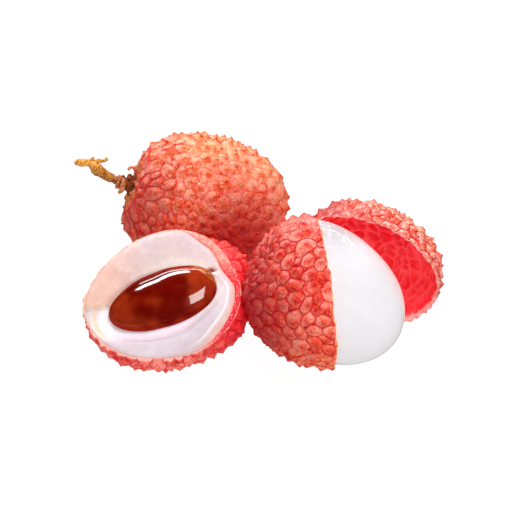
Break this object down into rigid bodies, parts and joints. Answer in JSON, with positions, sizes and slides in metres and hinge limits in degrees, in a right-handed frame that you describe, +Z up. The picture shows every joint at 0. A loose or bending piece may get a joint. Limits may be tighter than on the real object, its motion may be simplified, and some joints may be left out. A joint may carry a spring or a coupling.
{
  "type": "bunch of lychees",
  "caption": "Loose bunch of ripe lychees: a whole one on its stem, one cut open round its seed, one half peeled, and its empty half peel.",
  "frame": {"origin": "middle of the bunch's footprint, on the surface that it rests on", "axes": "+X along the bunch, from the cut fruit to the half-peeled fruit, +Y towards the whole fruit at the back, +Z up"},
  "size_m": [0.0796, 0.0628, 0.0329],
  "materials": {
    "peel": "rough red scales",
    "wood": "rough bark",
    "flesh": "wet and milky",
    "seed": "glossy"
  },
  "bodies": {
    "root": {"whole_fruit": "peel", "stem": "wood", "cut_peel": "peel", "cut_flesh": "flesh", "seed": "seed", "peeled_peel": "peel", "peeled_flesh": "flesh", "loose_peel": "peel"}
  },
  "joints": []
}
